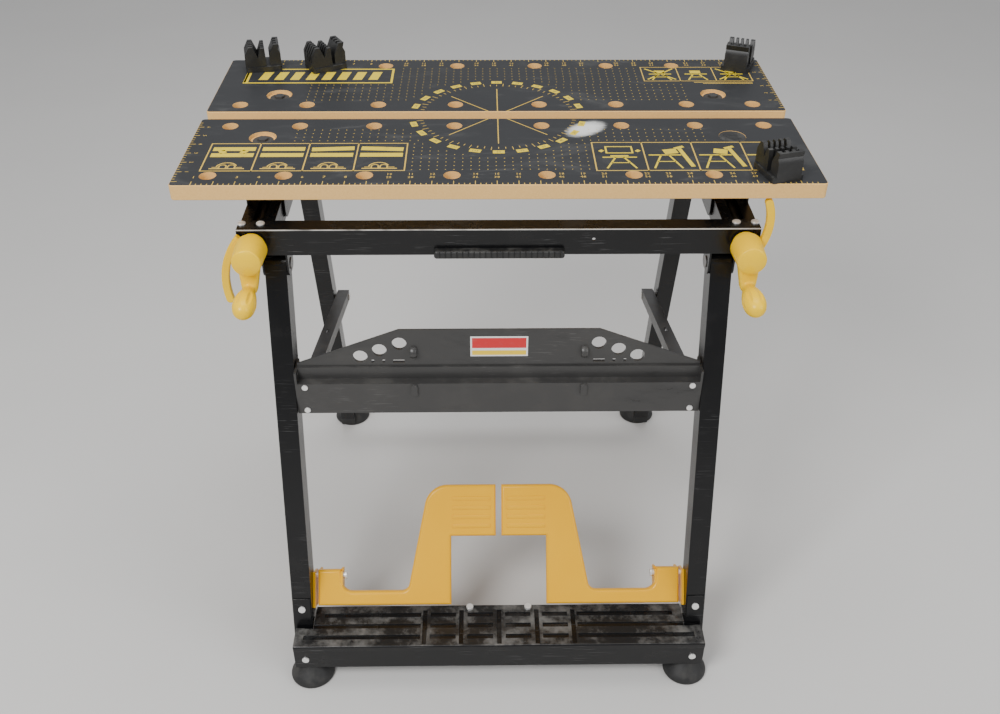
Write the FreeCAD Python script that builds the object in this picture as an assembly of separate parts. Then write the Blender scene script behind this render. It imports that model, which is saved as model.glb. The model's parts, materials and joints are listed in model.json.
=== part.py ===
import FreeCAD, Part

import math
import os

from FreeCAD import Vector

# Folding clamping workbench, millimetres. The origin is on the floor, midway between the
# foremost and rearmost points of the feet. X runs to the user's right, Y away from the user, Z up.
# Places are given by three numbers: x, "back" from the front edge of the worktop,
# and "down" from the top face of the worktop.

FRONT_EDGE_Y = -159.0
TOP_Z = 715.0

# Worktop
BOARD_WIDTH = 768.0
BOARD_DEPTH = 188.3
BOARD_THICK = 19.2
JAW_GAP = 22.8
BOARD_CORNER_R = 5.0
DOG_HOLE_R = 10.0
DOG_HOLE_X = (56.0, 159.0, 254.0, 343.0)
DOG_ROW_OUTER = 25.0
DOG_ROW_INNER = 23.0
RECESS_R = 17.0
RECESS_DEEP = 5.0
RECESS_INSET = 57.0
BOLT_R = 4.0
DOG_BASE = 7.0
DOG_HIGH = 37.0

# Top frame
RAIL_X = 296.0
RAIL_WIDE = 42.0
RAIL_DOWN = (69.5, 102.0)
RAIL_BACK = (16.5, 394.0)
RAIL_SLOT = 14.0
SHEET = 2.5
BEAM_HALF = 318.0
BEAM_BACK = (14.0, 38.0)
BEAM_DOWN = (67.0, 102.0)
REAR_BEAM_BACK = (376.0, 396.5)
SCREW_X = 299.0
SCREW_DOWN = 84.5
SCREW_R = 6.0
RUNNING = 0.06
SADDLE_LONG = 70.0
SADDLE_DOWN = (BOARD_THICK, 99.0)
PLAY = 0.5

# Legs: a hinge near the rails, a lean, and a tube
FRONT_HINGE = (41.0, 129.0)
REAR_HINGE = (284.5, 129.0)
FRONT_LEAN = -15.4
REAR_LEAN = 14.65
FRONT_TUBE = (27.0, 35.0, 582.0)
REAR_TUBE = (25.0, 30.0, 582.0)
FRONT_LEG_X = 278.5
REAR_LEG_X = 274.5
HINGE_PIN_R = 5.0
FOOT_R = 31.0
FOOT_HIGH = 28.0
FRONT_FOOT = (270.0, -134.0)
REAR_FOOT = (270.0, 452.0)

# Tool rack, struts, tread
RACK_HALF = 264.5
RACK_HOLE_R = 9.5
STRUT_FRONT = (0.0, 291.0)
STRUT_REAR = (348.0, 379.0)
STRUT_X = (240.5, 258.5)
TREAD_HALF = 289.0
TREAD_BACK = (-155.0, -82.0)
TREAD_DOWN = 635.0
TREAD_THICK = 3.2
TREAD_LIP = 9.0
GROOVE_DEEP = 1.8
SKIRT = (-149.5, 686.0)
GROOVE_CROSSINGS = (-106.0, -54.0, 0.0, 54.0, 106.0)

# Pedals: stamped plates that rise to the rear
PEDAL_FOOT = (-98.0, 611.0)
PEDAL_RISE = 54.0
PEDAL_DEEP = 11.0
PEDAL_LOW = -3.0
PEDAL_BEADS = (110.0, 123.0, 136.0, 149.0)
PEDAL_EDGE_R = 4.6
PEDAL_PIN = (40.0, -9.0)
PEDAL_PIN_R = 4.0

# Cranks and levers
CRANK_FRONT = 12.0
CRANK_THROW = 43.5
CRANK_LEAN = 5.0
HUB_R = (19.4, 17.6)
HUB_LONG = 37.0
HUB_DOME = 4.0
GRIP_BORE_R = 4.05
GRIP_PIN_R = 4.0
GRIP_FLUTES = 6
STRAP = 9.5
LEFT_STRAP = ((-14, 12), (-34.5, -26), (-36.6, -75))
RIGHT_STRAP = ((17, -6), (25.5, 26), (20.5, 57))


def at(x, back, down):
    return Vector(x, FRONT_EDGE_Y + back, TOP_Z - down)


def block(x, back, down):
    """A box given by its low and high x, back and down."""
    return Part.makeBox(x[1] - x[0], back[1] - back[0], down[1] - down[0], at(x[0], back[0], down[1]))


def rod_x(x, back, down, radius):
    return Part.makeCylinder(radius, x[1] - x[0], at(x[0], back, down), Vector(1, 0, 0))


def rod_y(x, back, down, radius):
    return Part.makeCylinder(radius, back[1] - back[0], at(x, back[0], down), Vector(0, 1, 0))


def rod_z(x, back, down, radius):
    return Part.makeCylinder(radius, down[1] - down[0], at(x, back, down[1]), Vector(0, 0, 1))


def mirrored(shape):
    return shape.mirror(Vector(0, 0, 0), Vector(1, 0, 0))


def turned(shape, hinge, degrees):
    """Turn a shape about the X axis through a hinge point given as back and down."""
    copy = shape.copy()
    copy.rotate(at(0, *hinge), Vector(1, 0, 0), degrees)
    return copy


def union(shapes):
    return shapes[0].fuse(shapes[1:]).removeSplitter() if len(shapes) > 1 else shapes[0]


def polygon(points):
    """A flat face through the given vectors."""
    return Part.Face(Part.makePolygon(points + points[:1]))


def spun(profile, centre, axis):
    """A solid of revolution from (along, radius) points, with a smooth side and flat start."""
    points = [Vector(radius, 0, along) for along, radius in profile]
    curve = Part.BSplineCurve()
    curve.interpolate(points)
    start = Vector(0, 0, profile[0][0])
    end = Vector(0, 0, profile[-1][0])
    edges = [Part.makeLine(start, points[0]), curve.toShape()]
    if profile[-1][1] > 0:
        edges.append(Part.makeLine(points[-1], end))
    face = Part.Face(Part.Wire(edges + [Part.makeLine(end, start)]))
    solid = face.revolve(Vector(0, 0, 0), Vector(0, 0, 1), 360)
    solid.Placement = FreeCAD.Placement(centre, FreeCAD.Rotation(Vector(0, 0, 1), axis))
    return solid


def save(name, shape):
    shape.exportStep(os.path.join("parts", name + ".step"))
    print(name, "solids", len(shape.Solids), "valid", shape.isValid())


def save_both(name, right):
    """Save a shape and its mirror image as one group of separate solids."""
    save(name, Part.makeCompound([right, mirrored(right)]))


def save_pair(name, right):
    save(name + "_right", right)
    save(name + "_left", mirrored(right))


# ---- worktop ---------------------------------------------------------------------------------

def worktop_board(back, near_gap_is_rear):
    """A jaw board with two rows of dog holes and a recess over each clamping bolt."""
    depth = (back, back + BOARD_DEPTH)
    board = block((-BOARD_WIDTH / 2, BOARD_WIDTH / 2), depth, (0, BOARD_THICK))
    corners = [e for e in board.Edges if abs(e.Vertexes[0].Z - e.Vertexes[-1].Z) > 1]
    board = board.makeFillet(BOARD_CORNER_R, corners)
    rims = [e for f in board.Faces if abs(f.normalAt(0, 0).z) > 0.9 for e in f.Edges]
    board = board.makeChamfer(0.8, rims)
    if near_gap_is_rear:
        rows = (depth[0] + DOG_ROW_OUTER, depth[1] - DOG_ROW_INNER)
        bolt_row = depth[1] - RECESS_INSET
    else:
        rows = (depth[0] + DOG_ROW_INNER, depth[1] - DOG_ROW_OUTER)
        bolt_row = depth[0] + RECESS_INSET
    cuts = []
    for x in DOG_HOLE_X:
        for side in (-1, 1):
            cuts += [rod_z(side * x, row, (-1, BOARD_THICK + 1), DOG_HOLE_R) for row in rows]
    for side in (-1, 1):
        cuts.append(rod_z(side * RAIL_X, bolt_row, (-1, RECESS_DEEP), RECESS_R))
        cuts.append(rod_z(side * RAIL_X, bolt_row, (0, BOARD_THICK + 1), BOLT_R + 0.3))
    return board.cut(cuts)


def clamping_bolt(back):
    """A washer and hexagon bolt in the board's recess, down into the carriage."""
    washer = rod_z(RAIL_X, back, (RECESS_DEEP - 1.4, RECESS_DEEP), 13.0)
    corners = [at(RAIL_X, back, RECESS_DEEP - 1.4) + Vector(7 * math.cos(a), 7 * math.sin(a), 0)
               for a in (math.pi / 3 * k for k in range(6))]
    head = polygon(corners).extrude(Vector(0, 0, 3.2))
    shank = rod_z(RAIL_X, back, (RECESS_DEEP - 1.4, 45.0), BOLT_R)
    return union([washer, head, shank])


def recess_cap(back):
    """A flush plastic plug in the recess, with a row of fine ribs."""
    cap = rod_z(RAIL_X, back, (0.3, 1.6), RECESS_R - 0.2)
    ribs = [block((RAIL_X - 11, RAIL_X + 11), (back + k * 4 - 0.8, back + k * 4 + 0.8), (-0.3, 0.4))
            for k in range(-2, 3)]
    return union([cap] + ribs)


# ---- top frame -------------------------------------------------------------------------------

def rail():
    """A slotted channel in which the clamping screw and its nut run."""
    half = RAIL_WIDE / 2
    outer = block((RAIL_X - half, RAIL_X + half), RAIL_BACK, RAIL_DOWN)
    inner = block((RAIL_X - half + 2, RAIL_X + half - 2), (0, 400), (RAIL_DOWN[0] + 2, RAIL_DOWN[1] - 2))
    slot = block((RAIL_X - RAIL_SLOT / 2, RAIL_X + RAIL_SLOT / 2), (44, 372), (60, RAIL_DOWN[0] + 3))
    return outer.cut([inner, slot])


def cross_channel(back, web_is_front):
    """A cross beam: a web over the rail ends, a full top flange, and a bottom flange between rails."""
    web_back = (back[0], back[0] + SHEET) if web_is_front else (back[1] - SHEET, back[1])
    web = block((-BEAM_HALF, BEAM_HALF), web_back, BEAM_DOWN)
    top = block((-BEAM_HALF, BEAM_HALF), back, (BEAM_DOWN[0], BEAM_DOWN[0] + SHEET))
    inside = RAIL_X - RAIL_WIDE / 2 - 0.5
    bottom = block((-inside, inside), back, (BEAM_DOWN[1] - SHEET, BEAM_DOWN[1]))
    return union([web, top, bottom])


def front_beam():
    """The front cross beam, with a raised boss and a bearing hole for each clamping screw."""
    beam = cross_channel(BEAM_BACK, True)
    for side in (-1, 1):
        boss = rod_y(side * SCREW_X, (BEAM_BACK[0] - 1.0, BEAM_BACK[0] + 1), SCREW_DOWN, 16.5)
        beam = beam.fuse(boss)
    for side in (-1, 1):
        beam = beam.cut(rod_y(side * SCREW_X, (0, 20), SCREW_DOWN, SCREW_R + RUNNING))
    return beam.cut(rod_y(115.0, (10, 20), 81.0, 2.2)).removeSplitter()


def beam_screws():
    """Four pan-head screws through the beam's top flange into the rails."""
    screws = []
    for x in (RAIL_X - 5.5, RAIL_X + 17.5):
        for side in (-1, 1):
            head = Part.makeSphere(8.0, at(side * x, 30, BEAM_DOWN[0] + 4.6))
            head = head.common(rod_z(side * x, 30, (60, BEAM_DOWN[0]), 5.2))
            slot = block((side * x - 3.2, side * x + 3.2), (29.5, 30.5), (60, BEAM_DOWN[0] - 1.9))
            screws.append(head.cut(slot))
    return Part.makeCompound(screws)


def carry_handle():
    """A ribbed grip along the front beam's lower edge."""
    low = BEAM_DOWN[1] + 1.5
    grip = block((-80, 80), (4.5, BEAM_BACK[0] - 0.1), (low - 11.0, low))
    edges = [e for e in grip.Edges if e.BoundBox.YMin < at(0, 5, 0).y and e.Length > 9]
    grip = grip.makeFillet(3.5, edges)
    grooves = [block((-73.5 + k * 7.0, -71.9 + k * 7.0), (4, 6.0), (80, 110)) for k in range(22)]
    return grip.cut(grooves)


def saddle(back):
    """An inverted U that hugs the rail and carries a board; its lower corners are rounded."""
    half = RAIL_WIDE / 2 + PLAY
    span = (back, back + SADDLE_LONG)
    top = block((RAIL_X - half - SHEET, RAIL_X + half + SHEET), span, (BOARD_THICK, BOARD_THICK + SHEET))
    sides = []
    for x in (RAIL_X - half - SHEET, RAIL_X + half):
        side = block((x, x + SHEET), span, SADDLE_DOWN)
        low = TOP_Z - SADDLE_DOWN[1]
        edges = [e for e in side.Edges
                 if abs(e.BoundBox.ZMax - low) < 0.1 and abs(e.BoundBox.XLength - SHEET) < 0.1]
        sides.append(side.makeFillet(14.0, edges))
    return union([top] + sides)


def carriage(back, is_nut):
    """The block between rail and saddle; the moving one carries the screw's nut inside the rail."""
    span = (back + 12, back + SADDLE_LONG - 12)
    foot = RAIL_DOWN[0] - (PLAY if is_nut else 0)
    body = block((RAIL_X - 15, RAIL_X + 15), span, (BOARD_THICK + SHEET, foot))
    if is_nut:
        neck = block((RAIL_X - 6.4, RAIL_X + 6.4), span, (foot, RAIL_DOWN[0] + 2.6))
        nut = block((RAIL_X - 18, RAIL_X + 18), span, (RAIL_DOWN[0] + 2.6, RAIL_DOWN[1] - 2.6))
        body = union([body, neck, nut])
        body = body.cut(rod_y(SCREW_X, (back, back + SADDLE_LONG), SCREW_DOWN, SCREW_R + RUNNING))
    return body


def hinge_bracket(hinge, leg_x, tube):
    """A U plate under the rail that holds a leg's hinge pin; in a pair, one for each rail."""
    inner = leg_x - tube[0] / 2 - PLAY
    outer = leg_x + tube[0] / 2 + PLAY
    back = (hinge[0] - 17, hinge[0] + 17)
    web = block((inner - SHEET, outer + SHEET), back, (RAIL_DOWN[1], RAIL_DOWN[1] + SHEET))
    plates = []
    for x in (inner - SHEET, outer):
        plate = block((x, x + SHEET), back, (RAIL_DOWN[1], hinge[1] + 12))
        low = TOP_Z - hinge[1] - 12
        edges = [e for e in plate.Edges
                 if abs(e.BoundBox.ZMax - low) < 0.1 and abs(e.BoundBox.XLength - SHEET) < 0.1]
        plates.append(plate.makeFillet(9.0, edges))
    bore = rod_x((inner - 5, outer + 5), hinge[0], hinge[1], HINGE_PIN_R)
    return union([web] + plates).cut(bore)


def hinge_pin(hinge, leg_x, tube):
    inner = leg_x - tube[0] / 2 - PLAY - SHEET
    outer = leg_x + tube[0] / 2 + PLAY + SHEET
    head = rod_x((inner - 1.2, inner), hinge[0], hinge[1], 7.5)
    nut = rod_x((outer, outer + 2.5), hinge[0], hinge[1], 7.0)
    return union([rod_x((inner, outer), hinge[0], hinge[1], HINGE_PIN_R), head, nut])


# ---- clamping screws, cranks and levers ------------------------------------------------------

def clamping_screw():
    screw = rod_y(SCREW_X, (CRANK_FRONT - 24, 372), SCREW_DOWN, SCREW_R)
    collar = rod_y(SCREW_X, (BEAM_BACK[0] + SHEET + 0.3, BEAM_BACK[0] + SHEET + 5), SCREW_DOWN, 10.0)
    return union([screw, collar])


def tapered_slab(x, top, bottom, radii, back):
    """A slab with two round ends of different radius, one above the other, extruded along Y."""
    length = bottom - top
    tilt = math.asin((radii[0] - radii[1]) / length)
    side = Vector(math.cos(tilt), 0, -math.sin(tilt))
    high = at(x, back[0], top)
    low = at(x, back[0], bottom)
    far = Vector(-side.x, 0, side.z)
    upper = Part.Arc(high + side * radii[0], high + Vector(0, 0, radii[0]), high + far * radii[0])
    lower = Part.Arc(low + far * radii[1], low - Vector(0, 0, radii[1]), low + side * radii[1])
    joins = [Part.makeLine(high + far * radii[0], low + far * radii[1]),
             Part.makeLine(low + side * radii[1], high + side * radii[0])]
    wire = Part.Wire([upper.toShape(), joins[0], lower.toShape(), joins[1]])
    return Part.Face(wire).extrude(Vector(0, back[1] - back[0], 0))


def swung(shape):
    """Swing a crank's shape a little outwards about the screw."""
    copy = shape.copy()
    copy.rotate(at(SCREW_X, 0, SCREW_DOWN), Vector(0, 1, 0), -CRANK_LEAN)
    return copy


def crank():
    """A tapered hub with a domed cap, an arm that hangs from it, and the grip's pin."""
    front = Vector(0, -1, 0)
    start = CRANK_FRONT - 10
    neck = rod_y(SCREW_X, (start, CRANK_FRONT), SCREW_DOWN, 11.0)
    hub = Part.makeCone(*HUB_R, HUB_LONG, at(SCREW_X, start, SCREW_DOWN), front)
    curve = (HUB_R[1] ** 2 + HUB_DOME ** 2) / (2 * HUB_DOME)
    rim = start - HUB_LONG
    dome = Part.makeSphere(curve, at(SCREW_X, rim - HUB_DOME + curve, SCREW_DOWN))
    dome = dome.common(rod_y(SCREW_X, (rim - HUB_DOME - 1, rim), SCREW_DOWN, HUB_R[0]))
    end = SCREW_DOWN + CRANK_THROW
    arm = tapered_slab(SCREW_X, SCREW_DOWN, end, (15.0, 9.5), (-24.0, -9.0))
    arm = arm.makeFillet(4.0, [e for e in arm.Edges if e.BoundBox.YLength < 0.1])
    boss = rod_y(SCREW_X, (-27, -20), end, 8.0)
    pin = rod_y(SCREW_X, (-66, -24), end, GRIP_PIN_R)
    bore = rod_y(SCREW_X, (CRANK_FRONT - 24, CRANK_FRONT + 1), SCREW_DOWN, SCREW_R)
    return swung(union([neck, hub, dome, arm, boss, pin]).cut(bore))


def crank_grip():
    """A long bulb-shaped grip with flutes, which spins on the crank's pin."""
    end = SCREW_DOWN + CRANK_THROW
    profile = ((0, 8.2), (8, 10.2), (21, 13.2), (33, 13.9), (44, 11.6), (50.5, 6.5), (52, 0.0))
    bulb = spun(profile, at(SCREW_X, -27.4, end), Vector(0, -1, 0))
    flutes = []
    for k in range(GRIP_FLUTES):
        angle = 2 * math.pi / GRIP_FLUTES * k
        x = SCREW_X + 15.2 * math.cos(angle)
        down = end + 15.2 * math.sin(angle)
        flutes.append(rod_y(x, (-73, -34), down, 3.2))
    return swung(bulb.cut(flutes + [rod_y(SCREW_X, (-66.5, -27), end, GRIP_BORE_R)]))


def release_lever(side, middle):
    """A ring on the crank's neck with a curved finger strap along an arc through three points."""
    back = (3.0, 11.0)
    ring = rod_y(side * SCREW_X, back, SCREW_DOWN, 15.5)
    middle = [Vector(x, 0, z) for x, z in middle]
    circle = Part.Circle(*middle)
    centre = circle.Center
    spokes = [(p - centre).normalize() for p in middle]
    outer = [centre + spoke * (circle.Radius + STRAP / 2) for spoke in spokes]
    inner = [centre + spoke * (circle.Radius - STRAP / 2) for spoke in spokes]
    tip = middle[2] + spokes[2].cross(Vector(0, 1, 0)) * STRAP / 2
    edges = [Part.Arc(*outer).toShape(),
             Part.Arc(outer[2], tip, inner[2]).toShape(),
             Part.Arc(inner[2], inner[1], inner[0]).toShape(),
             Part.makeLine(inner[0], outer[0])]
    strap = Part.Face(Part.Wire(edges)).extrude(Vector(0, back[1] - back[0], 0))
    strap.translate(at(side * SCREW_X, back[0], SCREW_DOWN))
    return union([ring, strap]).cut(rod_y(side * SCREW_X, (0, 12), SCREW_DOWN, 11.0 + RUNNING))


# ---- leg frames ------------------------------------------------------------------------------

def leg_tube(hinge, leg_x, tube, lean):
    """A rectangular tube with a round top end, bored for its hinge pin, then leaned."""
    wide, deep, length = tube

    def bar(inset, top, bottom):
        half = deep / 2 - inset
        x = (leg_x - wide / 2 + inset, leg_x + wide / 2 - inset)
        straight = block(x, (hinge[0] - half, hinge[0] + half), (hinge[1] + top, hinge[1] + bottom))
        return straight.fuse(rod_x(x, hinge[0], hinge[1], half)).removeSplitter()

    leg = bar(0, 0, length).cut(bar(2.0, 0, length + 5))
    bore = rod_x((leg_x - wide, leg_x + wide), hinge[0], hinge[1], HINGE_PIN_R + RUNNING)
    return turned(leg.cut(bore), hinge, lean)


def foot(x, back, plug_hinge, plug_x, tube, lean):
    """A round rubber foot with a plug that fills the end of the leg tube."""
    floor = at(x, back, TOP_Z)
    profile = ((0, FOOT_R - 1.5), (2.0, FOOT_R), (6, FOOT_R - 0.6), (14, 25.0), (22, 17.5), (FOOT_HIGH, 13.0))
    dome = spun(profile, floor, Vector(0, 0, 1))
    wide, deep, length = tube
    x_span = (plug_x - wide / 2, plug_x + wide / 2)
    back_span = (plug_hinge[0] - deep / 2, plug_hinge[0] + deep / 2)
    end = plug_hinge[1] + length
    plug = turned(block(x_span, back_span, (end, end + 40)), plug_hinge, lean)
    tube_end = turned(block(x_span, back_span, (end - 40, end)), plug_hinge, lean)
    above_floor = block((-400, 400), (-400, 700), (600, TOP_Z - 3))
    return union([dome, plug.common(above_floor)]).cut(tube_end)


def rack_sheet(points, x):
    """A bent sheet: its mid line, as (back, down) points, thickened and extruded across."""
    half = 1.0
    solids = []
    for (b0, d0), (b1, d1) in zip(points, points[1:]):
        back = (min(b0, b1) - half, max(b0, b1) + half)
        down = (min(d0, d1) - half, max(d0, d1) + half)
        solids.append(block(x, back, down))
    return union(solids)


def tool_rack():
    """The front stretcher: flange, ledge, riser and a panel with holes for tools."""
    x = (-RACK_HALF + 3, RACK_HALF - 3)
    profile = ((-10, 321), (-21, 321), (-21, 275), (-9, 275), (-9, 257), (-6, 257), (-6, 200))
    sheet = rack_sheet(profile, x)
    for side in (-1, 1):
        corner = polygon([at(side * 105, -30, 190), at(side * 300, -30, 190),
                          at(side * 300, -30, 256), at(side * 258, -30, 250)])
        sheet = sheet.cut(corner.extrude(Vector(0, 60, 0)))
        for hole_x, down in ((179, 241), (154, 231), (128, 221)):
            rim = rod_y(side * hole_x, (-7, -2.5), down, RACK_HOLE_R + 1.6)
            sheet = sheet.fuse(rim).cut(rod_y(side * hole_x, (-12, 5), down, RACK_HOLE_R))
        for hole_x in (163, 149):
            sheet = sheet.cut(rod_y(side * hole_x, (-12, 5), 248.5, 2.6))
        slot = block((min(side * 137, side * 122), max(side * 137, side * 122)), (-12, 5), (246.2, 250.8))
        sheet = sheet.cut(slot)
        for down in (234, 284):
            rib = Part.makeSphere(9.0, at(side * 110, -6 if down < 260 else -21, down))
            rib = rib.common(block((side * 110 - 4, side * 110 + 4), (-40, 20), (down - 9, down + 9)))
            sheet = sheet.fuse(rib.common(block((-300, 300), (-25.0, 0), (200, 330))))
        end = block((min(side * (RACK_HALF - 3), side * RACK_HALF), max(side * (RACK_HALF - 3), side * RACK_HALF)),
                    (-22, 12), (257, 322))
        sheet = sheet.fuse(end)
    return sheet.removeSplitter()


def rack_screws():
    """Screws that fix the tool rack's flange corners."""
    screws = []
    for side in (-1, 1):
        for x, down in ((252, 279), (252, 316)):
            screws.append(rod_y(side * x, (-24.0, -22.0), down, 4.0))
    return screws


def label_plate():
    return block((-37, 37), (-7.5, -7.0), (210, 241))


def strut():
    """A downward U channel from the tool rack's end to the rear leg."""
    back, down = STRUT_FRONT
    length = math.hypot(STRUT_REAR[0] - back, STRUT_REAR[1] - down)
    top = block(STRUT_X, (back - 8, back + length + 8), (down - 9, down - 7))
    flanges = []
    for x in (STRUT_X[0], STRUT_X[1] - 2):
        flanges.append(block((x, x + 2), (back - 8, back + length + 8), (down - 9, down + 7)))
    arm = union([top] + flanges)
    arm = arm.cut(rod_x((230, 262), back, down, 3.0 + RUNNING))
    slot = block((STRUT_X[0] + 7, STRUT_X[1] - 7), (back + 170, back + 184), (down - 12, down))
    fall = math.degrees(math.atan2(STRUT_REAR[1] - down, STRUT_REAR[0] - back))
    return turned(arm.cut(slot), STRUT_FRONT, -fall)


def strut_rivet():
    """The rivet head at the strut's rear end, on its inner side."""
    back, down = STRUT_REAR
    return rod_x((STRUT_X[0] - 2, STRUT_X[0]), back, down, 5.0)


def leg_stud():
    """The stub on the rear leg that the strut's end rests beside."""
    back, down = STRUT_REAR
    return rod_x((STRUT_X[1] + 0.6, REAR_LEG_X - REAR_TUBE[0] / 2), back, down, 5.0)


def strut_pin():
    back, down = STRUT_FRONT
    shank = rod_x((STRUT_X[0] - 1.5, RACK_HALF - 3), back, down, 3.0)
    return union([shank, rod_x((STRUT_X[0] - 3, STRUT_X[0] - 0.5), back, down, 5.0)])


def rear_crossbar():
    """A channel between the rear legs, below the struts."""
    inside = REAR_LEG_X - REAR_TUBE[0] / 2
    hinge = REAR_HINGE
    outer = block((-inside, inside), (hinge[0] - 11, hinge[0] + 11), (hinge[1] + 440, hinge[1] + 476))
    inner = block((-inside, inside), (hinge[0] - 20, hinge[0] + 9), (hinge[1] + 442, hinge[1] + 474))
    return turned(outer.cut(inner), hinge, REAR_LEAN)


def tread():
    """The stepped-on plate: a lipped sheet with pressed grooves, notched round the legs."""
    back, down = TREAD_BACK, TREAD_DOWN
    notch_x = FRONT_LEG_X - FRONT_TUBE[0] / 2 - 1.5
    outer = block((-TREAD_HALF, TREAD_HALF), back, (down, down + TREAD_LIP))
    rim = [e for e in outer.Edges if e.BoundBox.ZMin > TOP_Z - down - 0.1 and e.BoundBox.XLength > 1]
    outer = outer.makeFillet(2.4, [e for e in rim if e.BoundBox.YMax < FRONT_EDGE_Y + back[0] + 1])
    inner = block((-TREAD_HALF + 2, TREAD_HALF - 2), (back[0] + 2, back[1] + 5),
                  (down + TREAD_THICK, down + 2 * TREAD_LIP))
    cuts = [inner]

    def groove(x, back_span):
        cuts.append(block(x, back_span, (down - 1, down + GROOVE_DEEP)))

    for x in GROOVE_CROSSINGS:
        groove((x - 3, x + 3), (-151, -91))
    for side in (-1, 1):
        lo, hi = sorted((side * notch_x, side * 300))
        cuts.append(block((lo, hi), (-121, -60), (down - 5, down + 12)))
        for k, groove_back in enumerate((-99.0, -118.5, -138.0)):
            span = (groove_back - 3.5, groove_back + 3.5)
            groove(sorted((side * 112, side * (250 if k == 0 else 276))), span)
            for x in (80, 27):
                groove(sorted((side * (x - 18), side * (x + 18))), span)
    return outer.cut(cuts)


def leg_tab():
    """A tab bent up from the tread against the leg's front face."""
    hinge = FRONT_HINGE
    front = hinge[0] - FRONT_TUBE[1] / 2
    tab = block((FRONT_LEG_X - 12, FRONT_LEG_X + 12), (front - 2, front), (hinge[1] + 485, hinge[1] + 519))
    return turned(tab, hinge, FRONT_LEAN)


def tread_skirt():
    """A channel across the legs under the tread, with flanges turned back between the legs."""
    inside = FRONT_LEG_X - FRONT_TUBE[0] / 2 - 0.5
    wide = FRONT_LEG_X + 12
    front, low = SKIRT
    rear = front + SHEET
    under_tread = TREAD_DOWN + TREAD_THICK + 0.2
    face = block((-wide, wide), (front, rear), (TREAD_DOWN + TREAD_LIP + 0.5, low))
    neck = block((-wide + 4, wide - 4), (front, rear), (under_tread, TREAD_DOWN + TREAD_LIP + 0.5))
    top = block((-inside, inside), (front, -96), (under_tread, under_tread + SHEET))
    bottom = block((-inside, inside), (front, -118), (low - SHEET, low))
    cheeks = [block(sorted((side * wide, side * (wide - SHEET))), (front, -134),
                    (TREAD_DOWN + TREAD_LIP + 0.5, low)) for side in (-1, 1)]
    return union([face, neck, top, bottom] + cheeks)


def leg_screws():
    """Pan-head screws on the front of both legs: two high on the tabs, two low on the skirt."""
    screws = []
    hinge = FRONT_HINGE
    front = hinge[0] - FRONT_TUBE[1] / 2 - 2
    for side in (-1, 1):
        high = rod_y(side * FRONT_LEG_X, (front - 2.2, front), hinge[1] + 501, 5.0)
        screws.append(turned(high, hinge, FRONT_LEAN))
        screws.append(rod_y(side * (FRONT_LEG_X - 4), (SKIRT[0] - 2.2, SKIRT[0]), 668, 5.0))
    return screws


def tread_bolts():
    """Two bolt heads on the tread's rear edge."""
    return [rod_z(x, TREAD_BACK[1] - 5, (TREAD_DOWN - 4, TREAD_DOWN), 5.0) for x in (-42, 42)]


# ---- pedals ----------------------------------------------------------------------------------

def pedal_frame(shape):
    """Place a shape drawn in the pedal's plane: x across, y up the rise, z out of its front face."""
    back, down = PEDAL_FOOT
    up = math.radians(PEDAL_RISE)
    matrix = FreeCAD.Matrix(1, 0, 0, 0,
                            0, math.cos(up), -math.sin(up), FRONT_EDGE_Y + back,
                            0, math.sin(up), math.cos(up), TOP_Z - down,
                            0, 0, 0, 1)
    placed = shape.copy()
    placed.Placement = FreeCAD.Placement(matrix)
    return placed


def pedal_outline():
    """The stamped outline: an outer tab, a low bar, a sloping riser and an inward pad."""
    def arc(*points):
        return Part.Arc(*[Vector(*point) for point in points]).toShape()

    def lines(*points):
        ends = [Vector(*point) for point in points]
        return [Part.makeLine(a, b) for a, b in zip(ends, ends[1:])]

    edges = lines((258, PEDAL_LOW), (258, 48), (226, 48), (224, 31.5))
    edges.append(arc((224, 31.5), (219.5, 21.1), (209, 17)))
    edges += lines((209, 17), (139.7, 17))
    edges.append(arc((139.7, 17), (132.1, 19.7), (128, 26.7)))
    edges += lines((128, 26.7), (105.1, 141.7))
    edges.append(arc((105.1, 141.7), (93.7, 160.6), (73, 168)))
    edges += lines((73, 168), (4, 168), (4, 95), (68, 95), (68, PEDAL_LOW), (258, PEDAL_LOW))
    return Part.Face(Part.Wire(edges))


def pedal():
    """A stamped plate with edges turned back, cross ribs on the pad, and two ears for its pin."""
    outline = pedal_outline()
    outer = outline.extrude(Vector(0, 0, -PEDAL_DEEP))
    rims = [e for e in outer.Edges if e.BoundBox.ZMin > -0.1]
    outer = outer.makeFillet(PEDAL_EDGE_R, rims)
    pocket = outline.makeOffset2D(-2.6).extrude(Vector(0, 0, -PEDAL_DEEP - 2))
    pocket.translate(Vector(0, 0, -2.6))
    plate = outer.cut(pocket)
    ribs = []
    for along in PEDAL_BEADS:
        bead = Part.makeCylinder(5.0, 54, Vector(12, along, -3.6), Vector(1, 0, 0))
        ribs.append(bead.common(Part.makeBox(60, 12, 4, Vector(10, along - 6, -1))))
    ears = []
    rise, out = PEDAL_PIN
    for x in (223.0, 254.0):
        ear = Part.makeBox(3, 34, 14, Vector(x, rise - 26, -24))
        ear = ear.fuse(Part.makeBox(3, 23, 11, Vector(x, rise - 17, -12)))
        ears.append(ear)
    solid = union([plate] + ribs + ears)
    hole = Part.makeCylinder(PEDAL_PIN_R + RUNNING, 60, Vector(215, rise, out), Vector(1, 0, 0))
    return pedal_frame(solid.cut(hole))


def pedal_pin():
    """The pedal's pin, with a bright head at its inner end, fixed to the bracket on the leg."""
    rise, out = PEDAL_PIN
    shank = Part.makeCylinder(PEDAL_PIN_R, 45.2, Vector(219.5, rise, out), Vector(1, 0, 0))
    head = Part.makeCylinder(6.0, 2.5, Vector(217.5, rise, out), Vector(1, 0, 0))
    return pedal_frame(shank.fuse(head))


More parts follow.
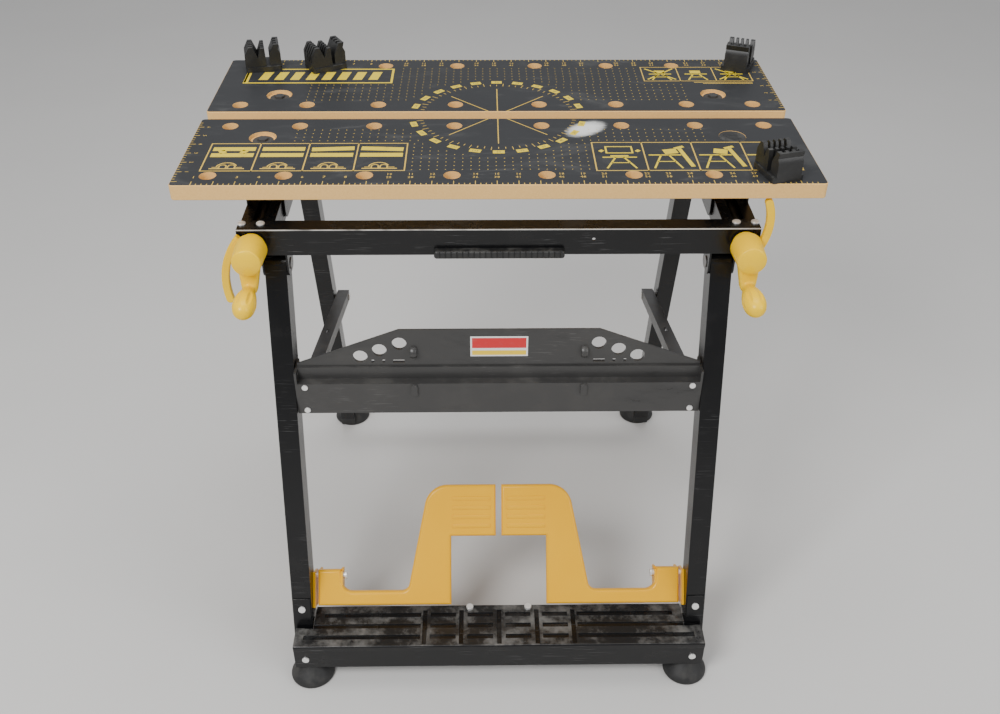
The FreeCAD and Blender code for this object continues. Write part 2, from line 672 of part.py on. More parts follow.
def pedal_bracket():
    """A plate on the leg's inner face that holds the pedal's pin."""
    rise, out = PEDAL_PIN
    plate = Part.makeBox(3.5, 51, 26, Vector(261.2, -5, -24))
    hole = Part.makeCylinder(PEDAL_PIN_R, 20, Vector(255, rise, out), Vector(1, 0, 0))
    return pedal_frame(plate.cut(hole))


def pull_rod():
    """The rod inside the leg that carries the pedal's pull up to the jaw's ratchet."""
    rod = rod_z(FRONT_LEG_X, FRONT_HINGE[0], (FRONT_HINGE[1] + 45, FRONT_HINGE[1] + 470), 3.0)
    return turned(rod, FRONT_HINGE, FRONT_LEAN)


# ---- bench dogs ------------------------------------------------------------------------------

def bench_dog(x, back, degrees, shift):
    """A stop for the dog holes: a base, a finned block with a V notch, and a windowed upright.

    The stem stands in the hole at x and back; the base is turned, and shifted off the stem.
    """
    half, low, high = 20.0, DOG_BASE, DOG_HIGH
    base = Part.makeBox(50, 2 * half, low, Vector(-25, -half, 0))
    base = base.makeFillet(3.0, [e for e in base.Edges if e.BoundBox.ZLength > low - 1])
    notch = [(-25, low), (-25, 24), (-19, high - 2), (-13, high - 2), (-7, 20), (-2, high - 4), (3, high - 4), (4, low)]
    notched = polygon([Vector(a, 2 - half, b) for a, b in notch]).extrude(Vector(0, 2 * half - 4, 0))
    slots = [Part.makeBox(31, 3.4, high, Vector(-26, k * 7.0 - 12.2, 13)) for k in range(4)]
    wedge = [(9, low), (9, 22), (16, high), (24, high), (22, 30), (25, 24), (25, low)]
    upright = polygon([Vector(a, 4 - half, b) for a, b in wedge]).extrude(Vector(0, 2 * half - 8, 0))
    windows = [Part.makeBox(5.5, 4.6, 12, Vector(15, k * 8.6 - 10.9, high - 9)) for k in range(3)]
    dog = union([base, notched.cut(slots), upright.cut(windows)])
    dog.rotate(Vector(0, 0, 0), Vector(0, 0, 1), degrees)
    dog.translate(at(x + shift[0], back + shift[1], -0.05))
    return union([dog, rod_z(x, back, (-0.05 - low / 2, 18), DOG_HOLE_R - RUNNING)])


# ---- the assembly ----------------------------------------------------------------------------

def main():
    os.makedirs("parts", exist_ok=True)
    rear_edge = BOARD_DEPTH + JAW_GAP
    front_bolts = BOARD_DEPTH - RECESS_INSET
    rear_bolts = rear_edge + RECESS_INSET
    front_saddle = front_bolts - SADDLE_LONG / 2
    rear_saddle = rear_bolts - SADDLE_LONG / 2
    bolt_bore = (10, 46)

    save("front_board", worktop_board(0, True))
    save("rear_board", worktop_board(rear_edge, False))
    bare_bolt = rod_z(RAIL_X, front_bolts, (RECESS_DEEP - 2, 45), BOLT_R)
    save("clamp_bolts_front", Part.makeCompound([mirrored(clamping_bolt(front_bolts)), bare_bolt]))
    save("recess_cap", recess_cap(front_bolts))
    save_both("clamp_bolts_rear", clamping_bolt(rear_bolts))

    save_pair("rail", rail())
    save("front_beam", front_beam())
    save("rear_beam", cross_channel(REAR_BEAM_BACK, False))
    save("beam_screws", beam_screws())
    save("carry_handle", carry_handle())
    bolt_hole = rod_z(RAIL_X, front_bolts, bolt_bore, BOLT_R)
    save_pair("front_saddle", saddle(front_saddle).cut(bolt_hole))
    save_both("front_spacers", carriage(front_saddle, False).cut(bolt_hole))
    bolt_hole = rod_z(RAIL_X, rear_bolts, bolt_bore, BOLT_R)
    save_pair("rear_saddle", saddle(rear_saddle).cut(bolt_hole))
    save_pair("jaw_nut", carriage(rear_saddle, True).cut(bolt_hole))

    for name, hinge, leg_x, tube in (("front", FRONT_HINGE, FRONT_LEG_X, FRONT_TUBE),
                                     ("rear", REAR_HINGE, REAR_LEG_X, REAR_TUBE)):
        save_both(name + "_hinge_brackets", hinge_bracket(hinge, leg_x, tube))
        save_both(name + "_hinge_pins", hinge_pin(hinge, leg_x, tube))

    save_pair("clamping_screw", clamping_screw())
    save_pair("crank", crank())
    save_pair("crank_grip", crank_grip())
    save("release_lever_left", release_lever(-1, LEFT_STRAP))
    save("release_lever_right", release_lever(1, RIGHT_STRAP))

    save_pair("front_leg", leg_tube(FRONT_HINGE, FRONT_LEG_X, FRONT_TUBE, FRONT_LEAN))
    save_pair("rear_leg", leg_tube(REAR_HINGE, REAR_LEG_X, REAR_TUBE, REAR_LEAN))
    save_pair("front_foot", foot(*FRONT_FOOT, FRONT_HINGE, FRONT_LEG_X, FRONT_TUBE, FRONT_LEAN))
    save_pair("rear_foot", foot(*REAR_FOOT, REAR_HINGE, REAR_LEG_X, REAR_TUBE, REAR_LEAN))
    save("rear_crossbar", rear_crossbar())
    save("tool_rack", tool_rack())
    save("label_plate", label_plate())
    save("tread", union([tread(), leg_tab(), mirrored(leg_tab())]))
    save("tread_skirt", tread_skirt())
    save("front_frame_screws", Part.makeCompound(rack_screws() + leg_screws() + tread_bolts()))

    save_pair("strut", strut())
    save_both("strut_rivets", strut_rivet())
    save_both("strut_studs", leg_stud())
    save_both("strut_pins", strut_pin())

    save_pair("pedal", pedal())
    save_both("pedal_brackets", pedal_bracket())
    save_both("pedal_pins", pedal_pin())
    save_pair("pull_rod", pull_rod())

    row = rear_edge + BOARD_DEPTH - DOG_ROW_OUTER
    outer, inner = DOG_HOLE_X[3], DOG_HOLE_X[2]
    save("bench_dog_rear_outer", bench_dog(-outer, row, 12, (9, -3)))
    save("bench_dog_rear_inner", bench_dog(-inner, row, 28, (9, -3)))
    save("bench_dog_rear_right", bench_dog(outer, row, -112, (7, -2)))
    save("bench_dog_front", bench_dog(outer, DOG_ROW_OUTER, -75, (-13, 3)))


main()
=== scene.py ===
import json
import math

import bmesh
import bpy
from mathutils import Matrix, Vector


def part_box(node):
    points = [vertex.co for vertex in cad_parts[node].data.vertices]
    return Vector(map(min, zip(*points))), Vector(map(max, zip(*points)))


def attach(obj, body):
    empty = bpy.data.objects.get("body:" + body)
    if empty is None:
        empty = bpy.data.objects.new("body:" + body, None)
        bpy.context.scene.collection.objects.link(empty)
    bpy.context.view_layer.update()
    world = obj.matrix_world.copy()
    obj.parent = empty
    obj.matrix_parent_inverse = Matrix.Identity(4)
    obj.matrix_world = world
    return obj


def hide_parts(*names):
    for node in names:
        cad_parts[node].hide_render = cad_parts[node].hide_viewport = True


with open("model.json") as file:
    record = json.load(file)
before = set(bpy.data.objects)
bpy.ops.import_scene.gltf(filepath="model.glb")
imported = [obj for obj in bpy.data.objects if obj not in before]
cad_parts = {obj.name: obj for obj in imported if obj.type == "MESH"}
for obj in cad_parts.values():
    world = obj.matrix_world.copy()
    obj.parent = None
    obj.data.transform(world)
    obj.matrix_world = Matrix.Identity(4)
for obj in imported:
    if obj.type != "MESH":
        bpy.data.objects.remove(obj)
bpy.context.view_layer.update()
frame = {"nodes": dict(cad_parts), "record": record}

MM = 0.001
INCH = 0.0254
bodies = frame["record"]["behaviour"]["bodies"]
body_of = {node: body for body, nodes in bodies.items() for node in nodes}
slot_of = {part["node"]: part["material_slot"] for part in frame["record"]["subparts"]}

front_lo, front_hi = (Vector(corner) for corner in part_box("front_board"))
TOP = front_hi.z
EDGE = front_lo.y
TREAD_DOWN = 635 * MM


# ---- node graphs -----------------------------------------------------------------------------

class Wire:
    """The output of a node, which can be used in Python sums."""

    def __init__(self, graph, socket):
        self.graph = graph
        self.socket = socket

    def __add__(self, other):
        return self.graph.math("ADD", self, other)

    def __radd__(self, other):
        return self.graph.math("ADD", other, self)

    def __sub__(self, other):
        return self.graph.math("SUBTRACT", self, other)

    def __rsub__(self, other):
        return self.graph.math("SUBTRACT", other, self)

    def __mul__(self, other):
        return self.graph.math("MULTIPLY", self, other)

    def __rmul__(self, other):
        return self.graph.math("MULTIPLY", other, self)

    def __truediv__(self, other):
        return self.graph.math("DIVIDE", self, other)

    def __gt__(self, other):
        return self.graph.math("GREATER_THAN", self, other)

    def __lt__(self, other):
        return self.graph.math("LESS_THAN", self, other)

    def step(self, low, high):
        """0 below low and 1 above high, smooth between."""
        return self.graph.node("ShaderNodeMapRange", {"interpolation_type": "SMOOTHSTEP"},
                               {0: self, 1: low, 2: high})


class Graph:
    """A node tree with one way of making its nodes."""

    def __init__(self, tree):
        self.tree = tree

    def node(self, kind, settings=None, inputs=None, out=0):
        made = self.tree.nodes.new(kind)
        for key, value in (settings or {}).items():
            setattr(made, key, value)
        for key, value in (inputs or {}).items():
            socket = made.inputs[key]
            if isinstance(value, Wire):
                self.tree.links.new(value.socket, socket)
            else:
                socket.default_value = value
        return Wire(self, made.outputs[out]) if made.outputs else None

    def math(self, operation, *values):
        return self.node("ShaderNodeMath", {"operation": operation}, dict(enumerate(values)))


class Finish(Graph):
    """A material in the making: patterns on Object coordinates, then one Principled surface."""

    def __init__(self, name):
        self.material = bpy.data.materials.new(name)
        self.material.use_nodes = True
        super().__init__(self.material.node_tree)
        self.tree.nodes.clear()
        self.place = self.node("ShaderNodeTexCoord", out="Object")
        self.normal = self.node("ShaderNodeNewGeometry", out="Normal")
        self.bump = None

    def axis(self, vector, letter):
        return self.node("ShaderNodeSeparateXYZ", None, {0: vector}, out=letter)

    def stretched(self, scale, turn=(0, 0, 0)):
        return self.node("ShaderNodeMapping", None, {0: self.place, 2: turn, 3: scale})

    def grain(self, scale, detail=4.0, rough=0.55, vector=None, distort=0.0):
        inputs = {"Vector": vector or self.place, "Scale": scale, "Detail": detail,
                  "Roughness": rough, "Distortion": distort}
        return self.node("ShaderNodeTexNoise", None, inputs)

    def blend(self, amount, low, high):
        def colour(value):
            return value if isinstance(value, Wire) else (*value, 1.0)
        settings = {"data_type": "RGBA", "clamp_factor": True}
        return self.node("ShaderNodeMix", settings, {0: amount, 6: colour(low), 7: colour(high)}, out=2)

    def emboss(self, height, distance):
        """Add a height to the surface's bump, in metres of distance."""
        inputs = {"Strength": 1.0, "Distance": distance, "Height": height}
        if self.bump:
            inputs["Normal"] = self.bump
        self.bump = self.node("ShaderNodeBump", None, inputs)

    def surface(self, colour, roughness, **constants):
        def value(item):
            if isinstance(item, tuple):
                return (*item, 1.0)
            return item
        inputs = {"Base Color": value(colour), "Roughness": value(roughness)}
        inputs.update({key.replace("_", " "): item for key, item in constants.items()})
        if self.bump:
            inputs["Normal"] = self.bump
        shader = self.node("ShaderNodeBsdfPrincipled", None, inputs)
        self.node("ShaderNodeOutputMaterial", None, {0: shader})
        return self.material

    # Recurring wear

    def dust(self, scale=22.0, low=0.5, high=0.78):
        """Patchy dust that gathers on faces that look up."""
        up = self.axis(self.normal, "Z").step(0.2, 0.95)
        return self.grain(scale, 8.0, 0.65).step(low, high) * (up * 0.75 + 0.25)

    def scratches(self, scale):
        """Fine scratches that run along X."""
        fine = self.grain(scale, 3.0, 0.5, self.stretched((1, 30, 30)), 0.4)
        return fine.step(0.62, 0.7) * self.grain(9.0, 3.0).step(0.45, 0.6)


def black_paint(name="gloss_black_paint", worn=None, bared=None):
    """Gloss black powder coat; worn masks surfaces that feet rub pale, and the last argument masks
    where a pale painted highlight goes.
    """
    paint = Finish(name)
    dust = paint.dust()
    scratch = paint.scratches(30.0)
    cloud = paint.grain(5.0, 5.0)
    colour = paint.blend(dust * 0.35, (0.0045, 0.0045, 0.005), (0.07, 0.066, 0.06))
    colour = paint.blend(scratch * 0.3, colour, (0.16, 0.16, 0.16))
    rough = cloud * 0.14 + dust * 0.3 + 0.17
    if worn:
        rubbed = worn(paint)
        patches = paint.grain(20.0, 7.0, 0.72).step(0.44, 0.68)
        colour = paint.blend(rubbed * (patches * 0.75 + 0.06), colour, (0.17, 0.165, 0.155))
        rough = rough + rubbed * patches * 0.2
    if bared:
        # Painted highlight: a pale colour laid into the paint where the edge mask is set.
        colour = paint.blend(bared(paint), colour, (0.62, 0.61, 0.58))
    paint.emboss(paint.grain(900.0, 2.0), 0.04 * MM)
    return paint.surface(colour, rough, Coat_Weight=0.12, Coat_Roughness=0.12, Specular_IOR_Level=0.3)


def tread_paint():
    def worn(paint):
        height = paint.axis(paint.place, "Z")
        upward = paint.axis(paint.normal, "Z") > 0.8
        return (height > TOP - TREAD_DOWN - 0.4 * MM) * upward
    return black_paint("rubbed_black_paint", worn)


def beam_paint():
    """Black paint with a pale painted highlight along the beam's upper front edge."""
    lo, hi = (Vector(corner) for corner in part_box("front_beam"))

    # Where the painted highlight goes: the upper front edge, broken up by noise.
    def bared(paint):
        high = paint.axis(paint.place, "Z") > hi.z - 0.9 * MM
        fore = paint.axis(paint.place, "Y") < lo.y + 2.4 * MM
        broken = paint.grain(7.0, 4.0, 0.6, paint.stretched((1.0, 0.1, 0.1))).step(0.36, 0.50)
        return high * fore * broken
    return black_paint("edge_worn_black_paint", None, bared)


def satin_paint():
    paint = Finish("satin_grey_paint")
    dust = paint.dust(16.0, 0.45, 0.75)
    rub = paint.grain(26.0, 7.0, 0.7, paint.stretched((0.5, 1.4, 1.4))).step(0.52, 0.72)
    scratch = paint.scratches(36.0)
    colour = paint.blend(dust * 0.5, (0.036, 0.035, 0.034), (0.12, 0.115, 0.105))
    colour = paint.blend(rub * 0.55, colour, (0.012, 0.012, 0.012))
    colour = paint.blend(scratch * 0.3, colour, (0.25, 0.24, 0.23))
    paint.emboss(paint.grain(800.0, 2.0), 0.04 * MM)
    return paint.surface(colour, 0.36 + rub * -0.1 + dust * 0.25, Coat_Weight=0.1, Coat_Roughness=0.3)


def yellow_paint():
    paint = Finish("gloss_yellow_paint")
    dust = paint.dust(30.0, 0.55, 0.8)
    cloud = paint.grain(7.0, 4.0)
    colour = paint.blend(cloud, (0.86, 0.40, 0.0), (0.95, 0.50, 0.002))
    colour = paint.blend(dust * 0.12, colour, (0.62, 0.38, 0.05))
    chips = paint.grain(160.0, 3.0, 0.5).step(0.76, 0.79) * paint.grain(14.0, 2.0).step(0.55, 0.7)
    colour = paint.blend(chips * 0.8, colour, (0.10, 0.06, 0.02))
    paint.emboss(paint.grain(700.0, 2.0), 0.04 * MM)
    return paint.surface(colour, cloud * 0.1 + dust * 0.3 + 0.24, Coat_Weight=0.1, Coat_Roughness=0.1,
                         Specular_IOR_Level=0.25)


def yellow_plastic():
    plastic = Finish("yellow_plastic")
    cloud = plastic.grain(18.0, 4.0)
    grime = plastic.grain(60.0, 6.0, 0.7).step(0.56, 0.8)
    colour = plastic.blend(cloud, (0.92, 0.55, 0.0), (0.98, 0.64, 0.0))
    colour = plastic.blend(grime * 0.2, colour, (0.50, 0.24, 0.0))
    plastic.emboss(plastic.grain(1400.0, 2.0), 0.03 * MM)
    return plastic.surface(colour, cloud * 0.12 + grime * 0.2 + 0.24, Specular_IOR_Level=0.3)


def black_plastic():
    plastic = Finish("black_plastic")
    dust = plastic.dust(70.0, 0.42, 0.75)
    colour = plastic.blend(dust * 0.6, (0.014, 0.014, 0.014), (0.10, 0.098, 0.09))
    plastic.emboss(plastic.grain(1300.0, 3.0), 0.06 * MM)
    return plastic.surface(colour, plastic.grain(40.0) * 0.15 + dust * 0.2 + 0.34)


def zinc():
    metal = Finish("zinc_plate")
    cloud = metal.grain(120.0, 4.0)
    colour = metal.blend(cloud, (0.80, 0.80, 0.78), (0.95, 0.94, 0.92))
    return metal.surface(colour, cloud * 0.2 + 0.25, Metallic=0.6)


def bare_steel():
    metal = Finish("oiled_steel")
    cloud = metal.grain(90.0, 5.0)
    colour = metal.blend(cloud, (0.22, 0.215, 0.21), (0.42, 0.41, 0.4))
    metal.emboss(metal.grain(500.0, 2.0, 0.5, metal.stretched((1, 6, 1))), 0.05 * MM)
    return metal.surface(colour, cloud * 0.25 + 0.28, Metallic=1.0)


def cast_block():
    metal = Finish("cast_block")
    cloud = metal.grain(60.0, 5.0)
    colour = metal.blend(cloud, (0.02, 0.02, 0.02), (0.06, 0.058, 0.055))
    metal.emboss(metal.grain(320.0, 3.0), 0.3 * MM)
    return metal.surface(colour, 0.6 + cloud * 0.2)


def rubber():
    pad = Finish("foot_rubber")
    dust = pad.dust(45.0, 0.4, 0.75)
    colour = pad.blend(dust * 0.6, (0.013, 0.013, 0.013), (0.11, 0.105, 0.095))
    pad.emboss(pad.grain(900.0, 3.0), 0.08 * MM)
    return pad.surface(colour, 0.55 + dust * 0.3)


# Middle, half size and slant of the smear of pale dust.
SMEAR = (112 * MM, -4 * MM)
SMEAR_SIZE = (32 * MM, 34 * MM)
SMEAR_SLANT = 0.55


def board():
    """Raw fibreboard with a dark printed top face, its scuffs and a smear of pale dust."""
    wood = Finish("printed_fibreboard")
    x = wood.axis(wood.place, "X")
    y = wood.axis(wood.place, "Y")
    z = wood.axis(wood.place, "Z")
    fleck = wood.grain(420.0, 5.0, 0.7)
    layers = wood.grain(90.0, 3.0, 0.5, wood.stretched((0.4, 0.4, 6.0)))
    raw = wood.blend(fleck, (0.66, 0.38, 0.12), (0.88, 0.57, 0.22))
    raw = wood.blend(layers.step(0.35, 0.7) * 0.4, raw, (0.76, 0.48, 0.17))
    cloud = wood.grain(7.0, 6.0, 0.6)
    scuff = wood.grain(40.0, 6.0, 0.7, wood.stretched((0.35, 1.6, 1.0)), 0.6).step(0.56, 0.74)
    face = wood.blend(cloud, (0.016, 0.017, 0.019), (0.030, 0.031, 0.033))
    face = wood.blend(scuff * 0.6, face, (0.085, 0.085, 0.083))
    haze = wood.grain(11.0, 7.0, 0.65, wood.stretched((0.7, 1.5, 1.0)), 0.8).step(0.52, 0.80)
    face = wood.blend(haze * 0.5, face, (0.11, 0.11, 0.105))
    smear_y = (y - SMEAR[1]) / SMEAR_SIZE[1]
    smear_x = (x - SMEAR[0]) / SMEAR_SIZE[0] - smear_y * SMEAR_SLANT
    near = 1.0 - (smear_x * smear_x + smear_y * smear_y).step(0.0, 1.0)
    streaks = wood.stretched((0.5, 2.2, 1.0), (0, 0, 0.9))
    ragged = wood.grain(95.0, 8.0, 0.8, streaks, 1.0)
    smear = near * (ragged + near * 0.6).step(0.62, 1.0)
    face = wood.blend(smear, face, (0.70, 0.70, 0.68))
    printed = (z > TOP - 0.4 * MM) * (wood.axis(wood.normal, "Z") > 0.9)
    colour = wood.blend(printed, raw, face)
    rough = printed * (-0.40) + 0.80 + printed * (scuff * 0.15 + cloud * 0.1 + smear * 0.3)
    wood.emboss(fleck * (1.0 - printed), 0.2 * MM)
    return wood.surface(colour, rough, Specular_IOR_Level=0.3)


def ink(name, fresh, worn):
    """Printing ink on the board, thinned where the face is rubbed."""
    print_ = Finish(name)
    wear = print_.grain(60.0, 7.0, 0.75).step(0.52, 0.78)
    spots = print_.grain(420.0, 3.0, 0.6).step(0.60, 0.70)
    colour = print_.blend(wear * 0.55 + spots * 0.3, fresh, worn)
    return print_.surface(colour, 0.48 + wear * 0.15)


def label():
    """A pale sticker with a plain red band and a plain yellow band."""
    sticker = Finish("banded_sticker")
    lo, hi = (Vector(corner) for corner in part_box("label_plate"))
    across = sticker.axis(sticker.place, "X")
    height = sticker.axis(sticker.place, "Z")
    inset = 2.2 * MM

    def band(low, high):
        inside = (height > lo.z + low) * (height < lo.z + high)
        return inside * (across > lo.x + inset) * (across < hi.x - inset)

    tall = hi.z - lo.z
    grime = sticker.grain(130.0, 5.0).step(0.55, 0.8)
    colour = sticker.blend(band(tall * 0.42, tall - inset), (0.80, 0.80, 0.78), (0.62, 0.02, 0.025))
    colour = sticker.blend(band(inset, tall * 0.30), colour, (0.88, 0.60, 0.03))
    colour = sticker.blend(grime * 0.25, colour, (0.3, 0.28, 0.25))
    return sticker.surface(colour, 0.4 + grime * 0.2)


finish_of = {
    "board": board(), "black_paint": black_paint(), "satin_paint": satin_paint(),
    "yellow_paint": yellow_paint(), "yellow_plastic": yellow_plastic(),
    "black_plastic": black_plastic(), "zinc_steel": zinc(), "bare_steel": bare_steel(),
    "cast_block": cast_block(), "rubber": rubber(), "label": label(),
}
# Nodes whose finish differs from the rest of their slot.
finish_for = {"tread": tread_paint(), "front_beam": beam_paint(),
              "clamp_bolts_front": finish_of["cast_block"],
              "clamp_bolts_rear": finish_of["cast_block"]}
yellow_ink = ink("yellow_ink", (0.74, 0.55, 0.02), (0.34, 0.26, 0.04))
gold_ink = ink("gold_ink", (0.66, 0.44, 0.07), (0.24, 0.17, 0.05))
dark_ink = ink("dark_ink", (0.05, 0.045, 0.035), (0.12, 0.10, 0.06))


# ---- piece helpers ---------------------------------------------------------------------------

def add_piece(name, mesh, body, material):
    """Put a finished mesh in the scene, riding on a body."""
    piece = bpy.data.objects.new(name, mesh)
    bpy.context.scene.collection.objects.link(piece)
    mesh.materials.clear()
    mesh.materials.append(material)
    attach(piece, body)
    return piece


def add_remade(node, mesh):
    """Put a node's remade mesh in its place, in the node's own finish."""
    slot = slot_of[node]
    material = finish_for.get(node, finish_of[slot])
    piece = add_piece(node + "_finished", mesh, body_of[node], material)
    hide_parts(node)
    return piece


def cad_copy(node, flat=1.0):
    """A welded copy of a CAD node's mesh, with its flat faces made whole."""
    shape = bmesh.new()
    shape.from_mesh(frame["nodes"][node].data)
    bmesh.ops.remove_doubles(shape, verts=shape.verts, dist=2e-6)
    if flat:
        bmesh.ops.dissolve_limit(shape, angle_limit=math.radians(flat), verts=shape.verts,
                                 edges=shape.edges)
    mesh = bpy.data.meshes.new(node + "_shape")
    shape.to_mesh(mesh)
    shape.free()
    return mesh


def evaluated(holder):
    """The mesh of an object with its modifiers applied."""
    bpy.context.view_layer.update()
    graph = bpy.context.evaluated_depsgraph_get()
    return bpy.data.meshes.new_from_object(holder.evaluated_get(graph))


def modified(mesh, *modifiers):
    """Apply a list of (kind, settings) modifiers to a mesh."""
    holder = bpy.data.objects.new("holder", mesh)
    bpy.context.scene.collection.objects.link(holder)
    for kind, settings in modifiers:
        modifier = holder.modifiers.new(kind.lower(), kind)
        for key, value in settings.items():
            setattr(modifier, key, value)
    result = evaluated(holder)
    bpy.data.objects.remove(holder)
    return result


def smooth(mesh, angle):
    for face in mesh.polygons:
        face.use_smooth = True
    mesh.set_sharp_from_angle(angle=math.radians(angle))
    return modified(mesh, ("WEIGHTED_NORMAL", {"keep_sharp": True, "weight": 90}))


def softened(node, width):
    """A CAD node with its sharp edges rounded, in its own finish."""
    bevel = {"width": width, "segments": 2, "limit_method": "ANGLE",
             "angle_limit": math.radians(32), "use_clamp_overlap": True}
    mesh = smooth(modified(cad_copy(node), ("BEVEL", bevel)), 50.0)
    return add_remade(node, mesh)


def moulded(node, voxel, rounds):
    """A CAD node remade as one blended moulding."""
    remesh = {"mode": "VOXEL", "voxel_size": voxel, "use_smooth_shade": True}
    relax = {"factor": 0.5, "iterations": rounds}
    mesh = modified(cad_copy(node, 0), ("REMESH", remesh), ("SMOOTH", relax))
    return add_remade(node, smooth(mesh, 60.0))


# ---- the pieces ------------------------------------------------------------------------------

# Voxel size and smoothing rounds of the nodes remade as mouldings. Below them, the bevel widths
# of all other nodes: by node, by slot, and for any slot not named.
MOULDED = {"crank_left": (0.9 * MM, 6), "crank_right": (0.9 * MM, 6),
           "crank_grip_left": (0.7 * MM, 4), "crank_grip_right": (0.7 * MM, 4),
           "release_lever_left": (0.7 * MM, 5), "release_lever_right": (0.7 * MM, 5)}
NODE_BEVELS = {"tread": 0.8 * MM, "tool_rack": 1.0 * MM, "front_beam": 1.2 * MM}
BEVELS = {"board": 0.5 * MM, "black_paint": 0.6 * MM, "satin_paint": 0.5 * MM,
          "yellow_paint": 0.4 * MM, "black_plastic": 0.5 * MM}
SMALL_BEVEL = 0.3 * MM

for part in slot_of:
    if part in MOULDED:
        moulded(part, *MOULDED[part])
    else:
        softened(part, NODE_BEVELS.get(part, BEVELS.get(slot_of[part], SMALL_BEVEL)))


# ---- printed marks on the boards -------------------------------------------------------------

# How far the ink stands above and below the face, and how much higher the dark ink stands.
THIN = 0.045 * MM
DARK_LEVEL = 0.03 * MM

# From here on, places and sizes on the boards are millimetres: x, and back from the worktop's
# front edge.
INCH_MM = INCH / MM
QUARTER = INCH_MM / 4
HALF_WIDTH = 384
REAR_EDGE = 399.4
RULER_INSET = 0.8
RULER_LINE = 0.9
FRONT_SCALE = 10.4
REAR_SCALE = 222
LONG_TICKS = 116
SIDE_TICKS = 27
HOLE_X = (56, 159, 254, 343)
HOLE_CLEAR = 11.5
DIAL_CENTRE = 199.7
DIAL_GAP = 12.2
DIAL_RAY_R = 88
DIAL_TICK_R = 98
DIAL_PLATE_R = 112
DIAL_CLEAR_R = 124
DIAL_FIRST = 10
DIAL_TICKS = 33
DIAL_TICK_LINE = 0.8
DIAL_RAY_LINE = 1.3
DIAL_PLATE = (14.5, 8.5)
DOT_STEP = (10.2, 10.4)
DOT_SIZE = 1.5
PANEL_LINE = 1.6


def spot(x, back, level=0.0):
    """A place on the worktop, from millimetres of x and back from its front edge."""
    return Vector((x * MM, EDGE + back * MM, TOP + level))


class Grown(Graph):
    """A Geometry Nodes tree with named inputs, which scatters thin closed tiles."""

    def __init__(self, name, **values):
        tree = bpy.data.node_groups.new(name, "GeometryNodeTree")
        super().__init__(tree)
        tree.interface.new_socket("Geometry", in_out="OUTPUT", socket_type="NodeSocketGeometry")
        self.inputs = {}
        for label, value in values.items():
            kind = "NodeSocketInt" if isinstance(value, int) else "NodeSocketFloat"
            socket = tree.interface.new_socket(label, in_out="INPUT", socket_type=kind)
            self.inputs[socket.identifier] = value
        self.group = tree.nodes.new("NodeGroupInput")
        self.index = self.node("GeometryNodeInputIndex")

    def __getitem__(self, label):
        return Wire(self, self.group.outputs[label])

    def vector(self, x=0.0, y=0.0, z=0.0):
        return self.node("ShaderNodeCombineXYZ", None, {0: x, 1: y, 2: z})

    def every(self, number):
        """1 at each number-th point and 0 at the rest."""
        return self.math("MODULO", self.index, number) < 0.5

    def tile(self):
        """A unit tile that starts at its own origin and runs along Y."""
        cube = self.node("GeometryNodeMeshCube", None, {"Size": (1.0, 1.0, 1.0)})
        return self.node("GeometryNodeTransform", None, {"Geometry": cube, "Translation": (0, 0.5, 0)})

    def scatter(self, points, shape, turn, wide, tall):
        inputs = {"Points": points, "Instance": shape, "Rotation": self.vector(0, 0, turn),
                  "Scale": self.vector(wide, tall, THIN * 2)}
        return self.node("GeometryNodeInstanceOnPoints", None, inputs)

    def mesh(self, geometry, material):
        real = self.node("GeometryNodeRealizeInstances", None, {0: geometry})
        done = self.node("GeometryNodeSetMaterial", None, {"Geometry": real, "Material": material})
        self.node("NodeGroupOutput", None, {0: done})
        holder = bpy.data.objects.new("holder", bpy.data.meshes.new("holder"))
        bpy.context.scene.collection.objects.link(holder)
        modifier = holder.modifiers.new("grow", "NODES")
        modifier.node_group = self.tree
        for identifier, value in self.inputs.items():
            modifier[identifier] = value
        result = evaluated(holder)
        holder.modifiers.remove(modifier)
        bpy.data.objects.remove(holder)
        return result


def ruler(start, step, turn, count, short=4.0, long=9.5):
    """Quarter-inch ticks, longer at each inch, from a place (x, back) by steps (x, back)."""
    place = spot(*start)
    tree = Grown("ruler", Count=count, Start_X=place.x, Start_Y=place.y, Step_X=step[0] * MM,
                 Step_Y=step[1] * MM, Turn=math.radians(turn), Short=short * MM, Long=long * MM)
    inputs = {"Count": tree["Count"],
              "Start Location": tree.vector(tree["Start_X"], tree["Start_Y"], TOP),
              "Offset": tree.vector(tree["Step_X"], tree["Step_Y"])}
    line = tree.node("GeometryNodeMeshLine", None, inputs)
    length = tree["Short"] + tree.every(4.0) * (tree["Long"] - tree["Short"])
    tiles = tree.scatter(line, tree.tile(), tree["Turn"], RULER_LINE * MM, length)
    return tree.mesh(tiles, gold_ink)


def dial_ticks(first):
    """Ticks every five degrees round the dial's centre, longer at each third."""
    tree = Grown("dial_ticks", Count=DIAL_TICKS, First=math.radians(first), Step=math.radians(5),
                 Radius=DIAL_TICK_R * MM, Short=5.0 * MM, Long=9.0 * MM,
                 Centre_Y=spot(0, DIAL_CENTRE).y)
    line = tree.node("GeometryNodeMeshLine", None, {"Count": tree["Count"]})
    angle = tree["First"] + tree["Step"] * tree.index
    x = tree.math("COSINE", angle) * tree["Radius"]
    y = tree.math("SINE", angle) * tree["Radius"] + tree["Centre_Y"]
    moved = {"Geometry": line, "Position": tree.vector(x, y, TOP)}
    ring = tree.node("GeometryNodeSetPosition", None, moved)
    length = tree["Short"] + tree.every(3.0) * (tree["Long"] - tree["Short"])
    outward = angle - math.pi / 2
    tiles = tree.scatter(ring, tree.tile(), outward, DIAL_TICK_LINE * MM, length)
    return tree.mesh(tiles, gold_ink)


